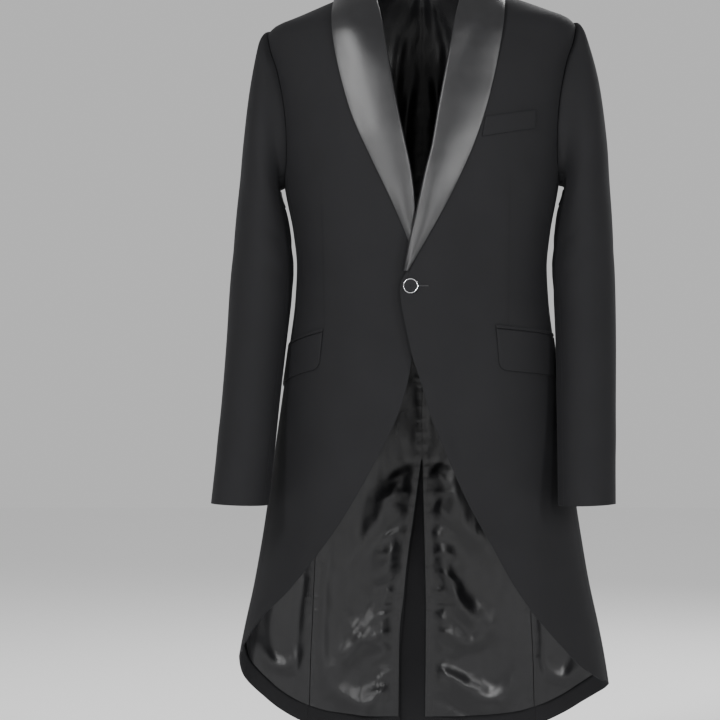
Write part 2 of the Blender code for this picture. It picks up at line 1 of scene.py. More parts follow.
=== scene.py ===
import math
import bpy
import numpy as np
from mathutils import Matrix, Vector


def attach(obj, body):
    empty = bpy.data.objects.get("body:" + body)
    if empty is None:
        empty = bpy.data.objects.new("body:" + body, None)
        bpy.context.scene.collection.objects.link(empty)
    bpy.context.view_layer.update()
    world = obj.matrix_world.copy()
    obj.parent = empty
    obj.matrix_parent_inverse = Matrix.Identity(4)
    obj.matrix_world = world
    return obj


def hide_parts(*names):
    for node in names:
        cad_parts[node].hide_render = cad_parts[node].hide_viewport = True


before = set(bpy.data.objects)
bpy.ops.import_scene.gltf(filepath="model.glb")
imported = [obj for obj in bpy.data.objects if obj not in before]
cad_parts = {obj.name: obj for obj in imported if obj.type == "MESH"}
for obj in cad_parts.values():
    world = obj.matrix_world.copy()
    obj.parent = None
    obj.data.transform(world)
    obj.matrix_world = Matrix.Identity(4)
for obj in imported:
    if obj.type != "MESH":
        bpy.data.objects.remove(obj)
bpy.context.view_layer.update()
mm = 0.001
sides = {"right": -1, "left": 1}

# The coat's form, in millimetres: level sections, seams, edges and hems as the solids have them.
cloth = dict(wool=1.6, satin=1.4, lining=1.0, seamGap=0.34, centreGap=0.1, layGap=0.7,
             liningGap=1.3, liningEase=2.6, armholeGap=1.1, roundness=2.3)
form = dict(shoulderZ=-67, underarmZ=-302, seamTopZ=-272, skirtZ=-600, ventZ=-709, closureX=-15,
            shoulderRise=13, backNeckRise=13, armholeFront=19.5, armholeBack=21, hemBand=28,
            collarRoll=3.1, lapelTuck=13, trimZ=-500)
bodyRows = (  # height, half width, depth in front, depth behind, middle
    (-1180, 298, 152, 150, 32), (-1090, 287, 151, 146, 31), (-996, 273, 150, 142, 30),
    (-884, 250, 148, 134, 28), (-795, 235, 146, 126, 26), (-660, 215, 142, 112, 23),
    (-535, 197, 134, 98, 17), (-468, 188.5, 129, 90, 13), (-419, 186, 128, 90, 11),
    (-370, 191, 130, 96, 10), (-300, 204, 134, 107, 10), (-240, 211, 133, 113, 10),
    (-180, 216, 128, 113, 11), (-129, 222, 120, 109, 13), (-95, 229, 111, 103, 15),
    (-76, 230, 104, 97, 16), (-62, 219, 98, 91, 17), (-48, 187, 91, 85, 17.5),
    (-32, 150, 83, 77, 18), (-16, 113, 74, 68, 18), (0, 77, 66, 61, 18), (20, 73, 62, 57, 18))
sideFrontRows = ((-272, 74.5), (-400, 76.5), (-600, 79), (-800, 80), (-1100, 80))
sideBackRows = ((-272, 104), (-350, 111), (-450, 119), (-600, 128), (-800, 136), (-1180, 143))
hemRows = {
    "right": ((78, -984), (90, -1002), (100, -1020), (110, -1041), (120, -1065), (130, -1092),
              (140, -1113), (150, -1126), (165, -1135), (180, -1138)),
    "left": ((78, -1030), (90, -1042), (100, -1050), (110, -1060), (120, -1076), (130, -1097),
             (140, -1115), (150, -1127), (165, -1135), (180, -1138))}
frontEdgeRows = {
    "right": ((-437, 1.5), (-484, 4), (-534, 11.5), (-553, 13.8), (-610, 25.7), (-657, 43.4),
              (-704, 66.9), (-757, 96.3), (-804, 125.7), (-851, 160.9), (-895, 196),
              (-930, 231.5), (-954, 250), (-984, 268)),
    "left": ((-437, -29), (-460, -30.9), (-484, -27.9), (-507, -23.3), (-534, -17.5),
             (-551, -13.8), (-594, 0.3), (-642, 13.7), (-660, 21), (-716, 44.7), (-766, 68.2),
             (-825, 100.6), (-883, 132.8), (-933, 168.2), (-974, 203.4), (-1007, 235),
             (-1030, 266))}
rollRows = {
    "right": ((-437, 2), (-400, 3.5), (-360, 6.5), (-316, 11), (-275, 16.9), (-240, 24.5),
              (-193, 34.6), (-146, 43.4), (-105, 50.4), (-63, 58), (-22, 66), (0, 70)),
    "left": ((-437, -27), (-386, -18.1), (-357, -11.1), (-316, -2.2), (-284, 4.8), (-246, 14.3),
             (-204, 21.3), (-157, 30), (-110, 38.9), (-63, 47.7), (-22, 57), (0, 63))}
lapelRows = {
    "right": ((-430, 6), (-405, 12), (-378, 22), (-322, 46.4), (-266, 72.8), (-198, 102.2),
              (-140, 118.6), (-99, 126.8), (-57, 131), (-22, 127)),
    "left": ((-430, -22), (-392, 0.7), (-345, 27), (-293, 53.6), (-240, 77.1), (-187, 94.7),
             (-140, 106.4), (-99, 114.1), (-57, 119.9), (-22, 121))}
collarRows = (  # fold x y z, foot x y z, edge x y z, from the neck's side to the centre back
    (66, -26, 2, 63, -12, -3, 126, 0, -12), (67, -4, 15, 69, 5, 1.5, 124, 22, -13),
    (64, 22, 28, 72, 25, 4, 115, 48, -11.5), (55, 46, 37, 66, 49, 7, 92, 67, -8),
    (38, 63, 42, 49, 65, 12, 62, 78, -5), (20, 71, 44.5, 26, 74, 14.6, 31, 83, -2.5),
    (0.9, 74, 45, 0.9, 76.8, 15.2, 0.9, 85, -1.5))
ventRows = {
    "right": ((-1140, -34), (-1020, -33), (-940, -27), (-870, -21), (-798, -11), (-709, -0.2)),
    "left": ((-1140, -46), (-1020, -44), (-900, -38), (-800, -24), (-740, -9), (-709, 0.2))}
liningVentRows = {
    "right": ((-1140, -36), (-1020, -35), (-940, -29), (-870, -23), (-798, -13), (-709, -1.2)),
    "left": ((-1140, 5), (-966, 6.5), (-870, 5.2), (-770, 2.5), (-709, 1.2))}
ringRows = {  # outer x z, inner x z, middle y, half depth, own shape, slant
    "right": ((241, -74, 206, -305, 11, 57, 0.2, 0), (249, -100, 206.5, -310, 10, 62, 0.5, 0),
              (258, -160, 205, -319, 8, 65, 0.85, 0), (266.5, -245, 201.5, -336, 5, 66, 1, 0),
              (273.5, -320, 195.5, -364, 2, 64, 1, 0), (280, -395, 190.6, -410, -3, 61, 1, 0),
              (285, -455, 192.2, -460, -8, 58, 1, 0), (289, -530, 200, -532, -18, 55, 1, 0),
              (294.7, -617, 209, -618, -36, 51, 1, 0.02), (301, -695, 216, -696, -58, 48, 1, 0.04),
              (307.5, -766, 223.5, -768, -78, 46, 1, 0.06)),
    "left": ((241, -74, 206, -305, 11, 57, 0.2, 0), (252, -100, 206.5, -310, 10, 62, 0.5, 0),
             (266, -160, 205, -319, 8, 65, 0.85, 0), (276, -245, 202, -336, 5, 66, 1, 0),
             (281, -320, 197.5, -364, 2, 64, 1, 0), (285, -395, 193.5, -410, -3, 61, 1, 0),
             (287, -455, 195.2, -460, -9, 58, 1, 0), (287, -530, 197.5, -532, -24, 55, 1, 0),
             (285, -617, 198, -618, -50, 51, 1, 0.02), (283, -695, 198, -696, -74, 48, 1, 0.04),
             (282, -766, 198, -768, -92, 46, 1, 0.06))}


class Curve:
    # a smooth value through rows of (place, value) that never swings past its rows
    def __init__(self, rows):
        places, values = np.array(sorted(rows), float).T
        steps = np.diff(places)
        slopes = np.diff(values) / steps
        tangents = np.zeros(len(places))
        for i in range(1, len(places) - 1):
            before, after = slopes[i - 1], slopes[i]
            if before * after > 0:
                first = 2 * steps[i] + steps[i - 1]
                second = steps[i] + 2 * steps[i - 1]
                tangents[i] = (first + second) / (first / before + second / after)
        tangents[0], tangents[-1] = slopes[0], slopes[-1]
        self.places, self.values, self.tangents = places, values, tangents

    def __call__(self, place):
        place = np.clip(place, self.places[0], self.places[-1])
        i = np.clip(np.searchsorted(self.places, place, "right") - 1, 0, len(self.places) - 2)
        step = self.places[i + 1] - self.places[i]
        t = (place - self.places[i]) / step
        return ((2 * t**3 - 3 * t**2 + 1) * self.values[i]
                + (t**3 - 2 * t**2 + t) * step * self.tangents[i]
                + (3 * t**2 - 2 * t**3) * self.values[i + 1]
                + (t**3 - t**2) * step * self.tangents[i + 1])


def ease(value, start, end):
    t = np.clip((value - start) / (end - start), 0, 1)
    return t * t * (3 - 2 * t)


def mix(a, b, t):
    return a + (b - a) * t


body = {name: Curve([(row[0], row[i]) for row in bodyRows])
        for i, name in enumerate(("height", "width", "front", "back", "middle")) if i}
sideFront, sideBack = Curve(sideFrontRows), Curve(sideBackRows)
hem, frontEdge, rollLine, lapelEdge, ventEdge, liningVent = (
    {side: Curve(rows[side]) for side in sides}
    for rows in (hemRows, frontEdgeRows, rollRows, lapelRows, ventRows, liningVentRows))


def levelPoint(side, angle, height):
    # the form's point at an angle from the centre front, in degrees, and a height
    sine, cosine = np.sin(np.radians(angle)), np.cos(np.radians(angle))
    depth = np.where(cosine > 0, body["front"](height), body["back"](height))
    power = cloth["roundness"]
    depth = depth * np.maximum(1 - np.abs(sine) ** power, 0) ** (1 / power)
    flute = fluteDepth(angle, height)
    across = (body["width"](height) + flute) * sine
    along = body["middle"](height) - np.copysign(depth + flute * np.abs(cosine), cosine)
    return np.stack([sides[side] * across, along, height + 0 * across], axis=-1)


def fluteDepth(angle, height):
    fall = ease(-height, 700, 1120)
    angle = np.minimum(angle, 360 - angle)
    return 5 * fall * ease(angle, 84, 112) * np.sin(np.radians((angle - 96) * 6.4))


def normalAt(side, angle, height):
    around = levelPoint(side, angle + 0.6, height) - levelPoint(side, angle - 0.6, height)
    upward = levelPoint(side, angle, height + 3) - levelPoint(side, angle, height - 3)
    normal = sides[side] * np.cross(around, upward)
    return normal / np.linalg.norm(normal, axis=-1, keepdims=True)


def layerLift(side, point, angle):
    x, height = point[..., 0], point[..., 2]
    near = 1 - ease(np.abs(x - form["closureX"]), 22, 100)
    along = ease(-height, 190, 300) * (1 - ease(-height, 560, 700))
    front = (6.5 if side == "left" else -3.5) * near * along
    near = 1 - ease(np.abs(x + 20), 34, 80)
    tail = (3.2 if side == "left" else -2.8) * near * ease(-height, 610, 680)
    return np.where(angle < 90, front, tail)


def settled(point):
    x, height = point[..., 0], point[..., 2]
    rise = form["shoulderRise"] * ease(x, 20, 225) * (1 - ease(-height, 120, 420))
    return point + np.stack([0 * rise, 0 * rise, rise], axis=-1)


def clothPoint(side, angle, height, out=0.0):
    angle, height = np.broadcast_arrays(np.asarray(angle, float), np.asarray(height, float))
    point = levelPoint(side, angle, height)
    step = (out + layerLift(side, point, angle))[..., None]
    return settled(point + normalAt(side, angle, height) * step)


def angleOf(height, distance, behind=False):
    angle = np.degrees(np.arcsin(np.clip(distance / body["width"](height), -1, 1)))
    return 180 - angle if behind else angle


def gapAngle(height, gap=cloth["seamGap"]):
    return np.degrees(gap / 2 / body["width"](height))


def armholeSwing(turn):
    front = -form["armholeFront"] * np.sin(turn) * (1 - 0.25 * np.cos(turn))
    back = -form["armholeBack"] * np.sin(turn) * (1 - 0.15 * np.cos(turn))
    return np.where(turn >= 0, front, back)


armMiddle = (form["shoulderZ"] + form["underarmZ"]) / 2
armReach = (form["shoulderZ"] - form["underarmZ"]) / 2


def armholeAngle(height, behind=False):
    turn = np.arccos(np.clip((height - armMiddle) / armReach, -1, 1))
    return 90 + armholeSwing(-turn if behind else turn)


def armholePoint(side, turn, out):
    return clothPoint(side, 90 + armholeSwing(turn), armMiddle + armReach * np.cos(turn), out)


# Rows, columns and walls

grid = dict(shoulder=12, armhole=44, step=0.05, waistRows=6, skirtRows=7)
upperHeights = np.concatenate([
    np.linspace(-4, form["shoulderZ"], grid["shoulder"], endpoint=False),
    np.linspace(form["shoulderZ"], form["seamTopZ"], grid["armhole"], endpoint=False)])
lowerRows = np.arange(0, grid["waistRows"] + grid["skirtRows"] + 0.01, grid["step"])


def shares(count):
    # even places across a panel, closer together beside its two edges
    near = np.array([0, 0.004, 0.01, 0.02])
    return np.concatenate([near, np.linspace(0.035, 0.965, count), 1 - near[::-1]])


def heightOf(side, row, angle):
    upper = mix(form["seamTopZ"], form["skirtZ"], row / grid["waistRows"])
    lower = mix(form["skirtZ"], hem[side](angle), (row - grid["waistRows"]) / grid["skirtRows"])
    return np.where(row <= grid["waistRows"], upper, lower)


def seamPlace(side, row, seam):
    angle = seam(form["skirtZ"]) + 0 * row
    for _ in range(12):
        angle = seam(heightOf(side, row, angle))
    return angle


def wallMesh(name, outer, inner, material, closed=False):
    rows, columns = outer.shape[:2]
    points = np.concatenate([outer.reshape(-1, 3), inner.reshape(-1, 3)]) * mm
    index = np.arange(rows * columns).reshape(rows, columns)
    right = np.roll(index, -1, axis=1) if closed else index[:, 1:]
    left = index if closed else index[:, :-1]
    front = np.stack([left[:-1], right[:-1], right[1:], left[1:]], axis=-1).reshape(-1, 4)
    far = rows * columns
    edges = [(index[0], True), (index[-1], False)]
    if not closed:
        edges += [(index[:, 0], False), (index[:, -1], True)]
    rims = []
    for edge, turned in edges:
        edge = np.append(edge, edge[0]) if closed else edge
        a, b = (edge[1:], edge[:-1]) if turned else (edge[:-1], edge[1:])
        rims.append(np.stack([a, b, far + b, far + a], axis=-1))
    faces = np.concatenate([front, far + front[:, ::-1]] + rims)
    corners = points[faces]
    volume = np.einsum("ij,ij->i", corners[:, 0], np.cross(corners[:, 1], corners[:, 2])).sum()
    volume += np.einsum("ij,ij->i", corners[:, 0], np.cross(corners[:, 2], corners[:, 3])).sum()
    if volume < 0:
        faces = faces[:, ::-1]
    mesh = bpy.data.meshes.new(name)
    mesh.vertices.add(len(points))
    mesh.vertices.foreach_set("co", points.ravel())
    mesh.loops.add(faces.size)
    mesh.loops.foreach_set("vertex_index", faces.ravel().astype(np.int32))
    mesh.polygons.add(len(faces))
    mesh.polygons.foreach_set("loop_start", np.arange(0, faces.size, 4, dtype=np.int32))
    mesh.update(calc_edges=True)
    across = np.linalg.norm(np.diff(outer, axis=1, prepend=outer[:, :1]), axis=2).cumsum(axis=1)
    along = np.linalg.norm(np.diff(outer, axis=0, prepend=outer[:1]), axis=2).cumsum(axis=0)
    flat = np.stack([across, along], axis=-1).reshape(-1, 2) * mm
    layer = mesh.uv_layers.new(name="cut")
    layer.data.foreach_set("uv", np.concatenate([flat, flat])[faces.ravel()].ravel())
    mesh.shade_smooth()
    mesh.set_sharp_from_angle(angle=math.radians(60))
    mesh.materials.append(material)
    made = bpy.data.objects.new(name, mesh)
    bpy.context.scene.collection.objects.link(made)
    return made


def dress(made, nodes, slot):
    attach(made, "root")
    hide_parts(*nodes)
    return made


def declare(made, outer):
    # the flat cut is measured along the panel's own rows and columns
    width = np.linalg.norm(np.diff(outer, axis=1), axis=2).sum(axis=1) * mm
    length = np.linalg.norm(np.diff(outer, axis=0), axis=2).sum(axis=0) * mm


# Soft creases: each follows three points and pushes the cloth out or in across its width.

def creaseHeight(x, z, rows):
    total = np.zeros_like(x)
    for (x0, z0), (x1, z1), (x2, z2), width, depth in rows:
        best = np.full_like(x, 1e9)
        strength = np.zeros_like(x)
        for t in np.linspace(0, 1, 60):
            px = (1 - t)**2 * x0 + 2 * t * (1 - t) * x1 + t * t * x2
            pz = (1 - t)**2 * z0 + 2 * t * (1 - t) * z1 + t * t * z2
            gap = (x - px)**2 + (z - pz)**2
            closer = gap < best
            best = np.where(closer, gap, best)
            strength = np.where(closer, math.sin(math.pi * min(max(t, 0.04), 0.96)) ** 0.6, strength)
        total += depth * strength * np.exp(-best / width**2)
    return total


def ripple(x, z, size, seed, stretch=1.0):
    # an uneven smooth ripple from a few crossing waves
    total = np.zeros_like(x)
    for i in range(7):
        turn = seed + i * 2.399
        freq = (0.7 + 0.23 * i) / size
        total += np.sin((x * math.cos(turn) + z * math.sin(turn) / stretch) * freq * 6.28 + turn * 5)
    return total / 7


neckCreases = {  # the lining's creases below the neck and beside the vent's foot
    "right": (
        ((-150, -880), (-166, -980), (-150, -1070), 10, -5),
        ((-8, -120), (-30, -190), (-26, -260), 8, -3),
        ((-20, -40), (-44, -110), (-40, -200), 9, 3)),
    "left": (
        ((12, -110), (32, -180), (24, -250), 8, -3),
        ((24, -30), (46, -100), (42, -190), 9, 3),
        ((36, -1080), (48, -1098), (84, -1110), 6, 3))}
sideCreases = {
    "right": (
        ((-176, -880), (-205, -960), (-196, -1050), 10, -5),
        ((-215, -900), (-236, -960), (-222, -1030), 9, 4),
        ((-180, -990), (-214, -1060), (-250, -990), 11, -5)),
    "left": (
        ((172, -880), (196, -960), (182, -1060), 10, -5),
        ((216, -900), (238, -970), (214, -1050), 9, 4),
        ((176, -1000), (214, -1080), (252, -1010), 11, -5))}
woolCreases = {
    "right": (
        ((-30, -470), (-80, -520), (-150, -500), 26, -1.6),
        ((-40, -420), (-96, -400), (-150, -350), 24, -1.4),
        ((-120, -230), (-150, -300), (-176, -330), 18, 1.8),
        ((-110, -650), (-150, -760), (-190, -900), 34, 2.4),
        ((-200, -700), (-215, -820), (-235, -960), 26, -2.2),
        ((-20, -560), (-70, -640), (-90, -760), 22, -1.6)),
    "left": (
        ((20, -470), (70, -520), (140, -496), 26, -1.6),
        ((24, -425), (80, -400), (140, -352), 24, -1.4),
        ((124, -240), (152, -300), (178, -330), 18, 1.8),
        ((100, -650), (140, -780), (176, -920), 34, 2.4),
        ((196, -700), (212, -830), (236, -980), 26, -2.2),
        ((10, -570), (50, -650), (76, -770), 22, -1.6))}
backCreases = {
    "right": (
        ((-20, -440), (-80, -470), (-150, -440), 24, -2.6),
        ((-30, -400), (-90, -420), (-160, -385), 20, 1.8),
        ((-110, -130), (-150, -200), (-190, -240), 22, 2.4),
        ((-60, -640), (-90, -800), (-110, -1000), 34, 3)),
    "left": (
        ((20, -440), (84, -468), (152, -436), 24, -2.6),
        ((30, -402), (92, -424), (158, -388), 20, 1.8),
        ((108, -128), (148, -196), (188, -236), 22, 2.4),
        ((50, -640), (84, -810), (104, -1000), 34, 3))}


def ventFolds(side):
    # small folds that fan out from the lining's stitches beside the vent, and longer ones below them
    way, rows = sides[side], []
    for k in range(25):
        z = -716 - 15.5 * k
        edge = float(liningVent[side](z))
        reach = 26 + 14 * math.sin(2.3 * k + way)
        rows.append(((edge + way * 6, z), (edge + way * (10 + reach * 0.5), z + 6),
                     (edge + way * (12 + reach), z - 6 - 9 * math.sin(1.3 * k)),
                     4.4 + 1.2 * math.sin(1.7 * k), -2.0 if k % 2 else 1.6))
    for k in range(8):
        z = -742 - 45 * k + 9 * math.sin(2.7 * k + way)
        edge = float(liningVent[side](z))
        reach = 82 + 34 * math.sin(1.9 * k + way * 0.6)
        drop = 72 + 44 * math.sin(2.2 * k + way * 1.3)
        rows.append(((edge + way * 14, z + 14), (edge + way * reach * 0.45, z - drop * 0.1),
                     (edge + way * reach, z - drop), 17 + 4 * math.sin(1.4 * k + way),
                     -6.0 - 1.6 * math.sin(2.9 * k)))
    rows.append(((way * 44, -1046), (way * 96, -1128), (way * 150, -1040), 15, -6))
    rows.append(((way * 40, -960), (way * 76, -1030), (way * 120, -950), 13, -5))
    return tuple(rows)


liningCreases = {side: neckCreases[side] + ventFolds(side) for side in sides}


bodyDegree = 3.4  # about how far one degree is round the body


def panelSkins(side, angles, heights, out, thickness, press, loose, creases, wave, pucker=0.0):
    # outer and inner skins of a panel, with its edges pressed down and its middle creased
    base = clothPoint(side, angles, heights, out)
    x, z = base[..., 0], base[..., 2]
    first, last = angles[:, :1], angles[:, -1:]
    toEdge = np.minimum(np.abs(angles - first), np.abs(last - angles)) * bodyDegree
    free = ease(toEdge, 0, 22)
    shape = creaseHeight(x, z, creases) * free
    shape = shape + wave[0] * ripple(x, z, wave[1], wave[2], 2.2) * ease(toEdge, 0, 8)
    if pucker:
        beat = np.sin(z / 1.45 + 1.3 * np.sin(z / 11)) + 0.6 * np.sin(z / 3.1)
        shape = shape + pucker * beat * np.exp(-((toEdge - 3.5) / 4.5) ** 2)
    shape = shape - press * np.exp(-toEdge / 1.3) - loose * ease(toEdge, 0, 27)
    if loose:
        # the lining never reaches the wool that it hangs in
        ceiling = cloth["liningGap"] - 0.4
        shape = ceiling - np.logaddexp(0, (ceiling - shape) * 2) / 2
    return (clothPoint(side, angles, heights, out + shape),
            clothPoint(side, angles, heights, out + shape - thickness))


# Materials

class Value:
    # a shader socket that takes part in plain arithmetic
    def __init__(self, shade, socket):
        self.shade, self.socket = shade, socket

    def join(self, kind, other, swapped=False):
        first, second = (other, self) if swapped else (self, other)
        return self.shade.node("ShaderNodeMath", dict(operation=kind), {0: first, 1: second})[0]

    def __add__(self, other):
        return self.join("ADD", other)

    def __radd__(self, other):
        return self.join("ADD", other, True)

    def __sub__(self, other):
        return self.join("SUBTRACT", other)

    def __rsub__(self, other):
        return self.join("SUBTRACT", other, True)

    def __mul__(self, other):
        return self.join("MULTIPLY", other)

    def __abs__(self):
        return self.shade.node("ShaderNodeMath", dict(operation="ABSOLUTE"), {0: self})[0]

    def sine(self):
        return self.shade.node("ShaderNodeMath", dict(operation="SINE"), {0: self})[0]

    def below(self, limit):
        return self.join("LESS_THAN", limit)

    def above(self, limit):
        return self.join("GREATER_THAN", limit)


class Shade:
    # a material whose plain inputs are values and whose linked ones are worked out
    def __init__(self, name, **inputs):
        self.material = bpy.data.materials.new(name)
        self.material.use_nodes = True
        self.tree = self.material.node_tree
        self.shader = self.tree.nodes["Principled BSDF"]
        self.put(self.shader, {key.replace("_", " "): value for key, value in inputs.items()})

    def put(self, node, values):
        for key, value in values.items():
            if isinstance(value, Value):
                self.tree.links.new(value.socket, node.inputs[key])
            else:
                node.inputs[key].default_value = value

    def node(self, kind, settings, values):
        made = self.tree.nodes.new(kind)
        for key, value in settings.items():
            setattr(made, key, value)
        self.put(made, values)
        return [Value(self, socket) for socket in made.outputs]

    def place(self):
        found = self.node("ShaderNodeTexCoord", {}, {})[3]
        split = self.node("ShaderNodeSeparateXYZ", {}, {0: found})
        return found, split[0], split[2]

    def cut(self):
        found = self.node("ShaderNodeUVMap", dict(uv_map="cut"), {})[0]
        split = self.node("ShaderNodeSeparateXYZ", {}, {0: found})
        return split[0], split[1]

    def cloud(self, vector, scale, detail=3.0):
        return self.node("ShaderNodeTexNoise", {}, {"Vector": vector, "Scale": scale, "Detail": detail})[0]

    def tone(self, factor, dark, light):
        return self.node("ShaderNodeMix", dict(data_type="RGBA"),
                         {0: factor, 6: (*dark, 1), 7: (*light, 1)})[2]

    def bump(self, height, strength, distance):
        normal = self.node("ShaderNodeBump", {}, {"Height": height, "Strength": strength,
                                                  "Distance": distance})[0]
        self.put(self.shader, {"Normal": normal})


wholeTurn = 6.283


def makeWool(name, lines=()):
    # black twill: fine diagonal ribs, a little nap, and darts as pressed grooves in the bump, with painted
    # shade darkening the colour along them
    look = dict(rib=0.0011, dark=(0.0030, 0.0030, 0.0035), light=(0.0068, 0.0068, 0.0077))
    shade = Shade(name, Sheen_Weight=0.025, Sheen_Roughness=0.45, Sheen_Tint=(0.6, 0.6, 0.65, 1),
                  Specular_IOR_Level=0.16)
    found, x, z = shade.place()
    u, v = shade.cut()
    rib = ((u + v * 1.0) * (wholeTurn / look["rib"])).sine()
    cross = ((u - v * 0.6) * (wholeTurn / (look["rib"] * 0.7))).sine()
    nap = shade.cloud(found, 900.0, 4.0)
    blotch = shade.cloud(found, 14.0, 4.0)
    height = rib * 0.5 + cross * 0.25 + nap * 0.9
    factor = blotch * 0.6 + nap * 0.4
    for top, bottom, line, slope in lines:
        away = abs(x - (z - top) * slope - line)
        inside = z.below(top) * z.above(bottom)
        shadedGroove = inside * away.below(0.0013)
        height = height - shadedGroove * 16.0
        # painted shade: the colour along each dart's groove is darkened towards the dark tone
        factor = factor * (1.0 - shadedGroove * 0.7)
    shade.put(shade.shader, {"Base Color": shade.tone(factor, look["dark"], look["light"]),
                             "Roughness": 0.66 + nap * 0.24})
    shade.bump(height, 0.35, 0.00022)
    return shade.material


def makeSatin(name, dark, light, roughness, weft, gloss):
    # satin: fine threads along the cut, a soft gloss and slight unevenness
    shade = Shade(name, Specular_IOR_Level=gloss, Anisotropic=0.35)
    found = shade.place()[0]
    u, v = shade.cut()
    threads = (v * (wholeTurn / weft)).sine() * 0.5 + (u * (wholeTurn / (weft * 2.3))).sine() * 0.3
    slub = shade.cloud(found, 60.0, 4.0)
    grain = shade.cloud(found, 1400.0, 2.0)
    shade.put(shade.shader, {"Base Color": shade.tone(slub, dark, light),
                             "Roughness": roughness + grain * 0.1 + slub * 0.05})
    shade.bump(threads * 0.6 + grain * 0.7 + slub * 2.0, 0.22, 0.00018)
    return shade.material


dartLines = {"right": ((-0.300, -0.511, -0.1465, -0.0225),), "left": ((-0.285, -0.508, 0.1275, 0.008),)}
wools = {side: makeWool(f"wool_{side}", dartLines[side]) for side in sides}
wool = makeWool("wool_plain")
satin = makeSatin("satin", (0.004, 0.004, 0.0045), (0.009, 0.009, 0.010), 0.27, 0.0005, 0.42)
lining = makeSatin("lining", (0.005, 0.005, 0.0055), (0.007, 0.007, 0.008), 0.22, 0.0006, 0.3)
buttonCloth = makeSatin("button_cloth", (0.006, 0.006, 0.007), (0.009, 0.009, 0.010), 0.5, 0.0005, 0.08)
thread = Shade("thread", Roughness=0.55, Base_Color=(0.02, 0.02, 0.022, 1)).material
chrome = Shade("chrome", Metallic=1.0, Base_Color=(0.82, 0.82, 0.84, 1)).material
chrome.node_tree.nodes["Principled BSDF"].inputs["Roughness"].default_value = 0.12


# The panels of the body

def upperEnds(behind, inset):
    height = upperHeights
    last = np.where(height > form["shoulderZ"], 90.0, armholeAngle(height, behind))
    trim = gapAngle(height, cloth["seamGap"] + inset)
    return last + trim if behind else last - trim


def angleRows(first, last, count):
    return first[:, None] + (last - first)[:, None] * shares(count)[None, :]


def makeFront(side):
    size = dict(columns=56, press=0.55, rollClear=1.2, neckRoom=10)

    def innerEdge(height):
        room = size["neckRoom"] * ease(height, -50, -12)
        rolled = rollLine[side](height) + form["collarRoll"] + size["rollClear"] + room
        return angleOf(height, mix(frontEdge[side](height), rolled, ease(height, -446, -428)))

    seam = seamPlace(side, lowerRows, sideFront)
    heights = np.concatenate([upperHeights, heightOf(side, lowerRows, seam)])
    last = np.concatenate([upperEnds(False, 0), seam - gapAngle(heightOf(side, lowerRows, seam))])
    angles = angleRows(innerEdge(heights), last, size["columns"])
    heights = heights[:, None] + 0 * angles
    outer, inner = panelSkins(side, angles, heights, 0, cloth["wool"], size["press"], 0,
                              woolCreases[side], (0.35, 90, 1.0))
    made = dress(wallMesh(f"front_cloth_{side}", outer, inner, wools[side]), [f"front_{side}"], "wool")
    declare(made, outer)


def scoopOf(angles):
    first, last = sideFront(form["seamTopZ"]), sideBack(form["seamTopZ"])
    share = np.clip((angles - first) / (last - first), 0, 1)
    return (form["underarmZ"] - form["seamTopZ"] - 1) * np.sin(np.pi * share)


def makeSide(side, kind, size):
    trim = gapAngle(form["trimZ"], cloth["seamGap"] + size["inset"])
    angles = angleRows(seamPlace(side, lowerRows, sideFront) + trim,
                       seamPlace(side, lowerRows, sideBack) - trim, size["columns"])
    rows = lowerRows[:, None] + 0 * angles
    heights = heightOf(side, rows, angles)
    heights = heights + size["footRise"] * ease(-heights, 900, 1000)
    heights = heights + scoopOf(angles) * np.maximum(0, 1 - rows / 3)
    outer, inner = panelSkins(side, angles, heights, size["out"], size["thickness"], size["press"],
                              size["loose"], size["creases"][side], size["wave"], size["pucker"])
    made = dress(wallMesh(f"{kind}_cloth_{side}", outer, inner, size["material"]),
                 [f"{kind}_{side}"], size["slot"])
    declare(made, outer)


def makeBack(side, kind, size):
    upper = upperHeights[:, None]
    last = np.concatenate([upperEnds(True, size["armholeInset"]),
                           seamPlace(side, lowerRows, sideBack)
                           + gapAngle(form["trimZ"], cloth["seamGap"] + size["inset"])])
    centreHeights = np.concatenate([upperHeights, heightOf(side, lowerRows, 178.0)])
    swung = angleOf(centreHeights, sides[side] * size["edges"][side](centreHeights), True)
    # above the vent the fine halves meet, so no light comes through the seam
    centre = np.where(centreHeights > form["ventZ"], 180 + gapAngle(centreHeights, cloth["centreGap"]), swung)
    angles = angleRows(centre, last, size["columns"])
    count = len(upperHeights)
    fade = np.maximum(0, 1 - np.interp(upper, (form["seamTopZ"], form["shoulderZ"], -4), (9, 4, 0)) / 3)
    neck = form["backNeckRise"] * ease(angles[:count], 90, 180) * fade
    low = heightOf(side, lowerRows[:, None] + 0 * angles[count:], angles[count:])
    heights = np.concatenate([upper + neck, low + size["footRise"] * ease(-low, 900, 1000)])
    outer, inner = panelSkins(side, angles, heights, size["out"], size["thickness"], size["press"],
                              size["loose"], size["creases"][side], size["wave"], size["pucker"])
    made = dress(wallMesh(f"{kind}_cloth_{side}", outer, inner, size["material"]),
                 [f"{kind}_{side}"], size["slot"])
    declare(made, outer)


under = -(cloth["wool"] + cloth["liningGap"])
woolSide = dict(columns=30, inset=0, footRise=0, out=0, thickness=cloth["wool"], press=0.55, loose=0,
                creases=woolCreases, wave=(0.3, 80, 2.0), pucker=0.0, material=wool, slot="wool")
woolBack = dict(woolSide, columns=52, armholeInset=0, creases=backCreases, edges=ventEdge)
liningSide = dict(columns=44, inset=0.6, footRise=form["hemBand"], out=under,
                  thickness=cloth["lining"], press=0.2, loose=cloth["liningEase"],
                  creases=sideCreases, wave=(0.9, 34, 0.4), pucker=0.45, material=lining, slot="lining")
liningBack = dict(liningSide, columns=84, armholeInset=4.8, creases=liningCreases, edges=liningVent)


# The sleeves

